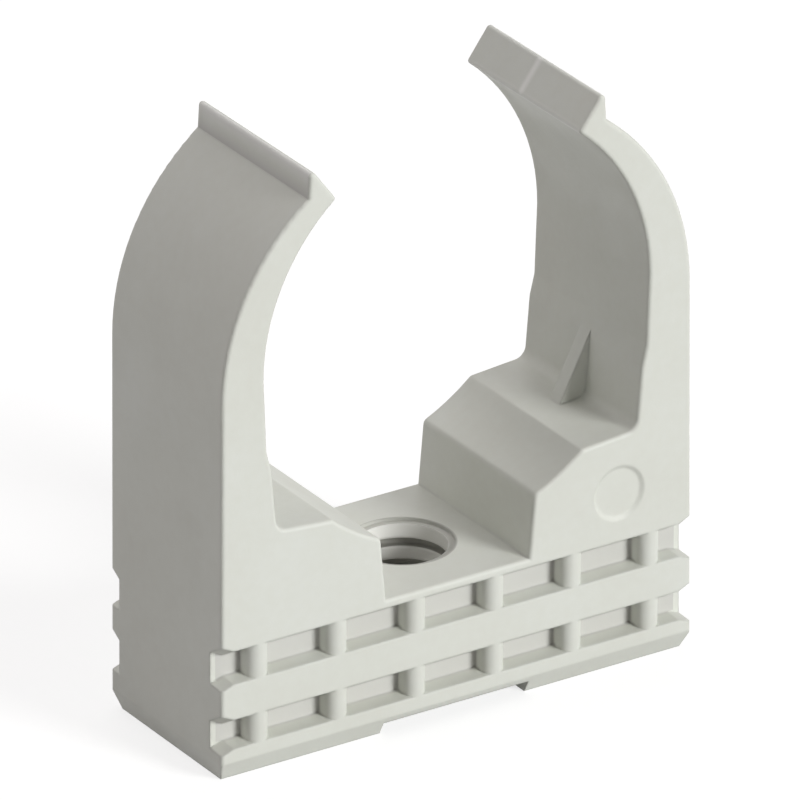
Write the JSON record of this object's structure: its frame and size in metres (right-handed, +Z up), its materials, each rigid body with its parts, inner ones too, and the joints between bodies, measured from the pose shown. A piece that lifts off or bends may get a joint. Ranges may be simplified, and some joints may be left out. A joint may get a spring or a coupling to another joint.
{
  "type": "conduit clip",
  "caption": "Open snap-in clip for rigid conduit: flexible arms with lead-in lips over a flat ribbed base with a screw hole.",
  "frame": {"origin": "middle of the standing plane, below the screw hole", "axes": "+Z up from the wall or ceiling that the base is screwed to, +Y along the conduit, +X across the jaw; the face with the ejector pin's mark is towards -Y"},
  "size_m": [0.0396, 0.0148, 0.0453],
  "materials": {
    "light_grey_plastic": "fine satin moulded plastic, plain light grey"
  },
  "bodies": {
    "root": {"clip_body": "light_grey_plastic"}
  },
  "joints": []
}
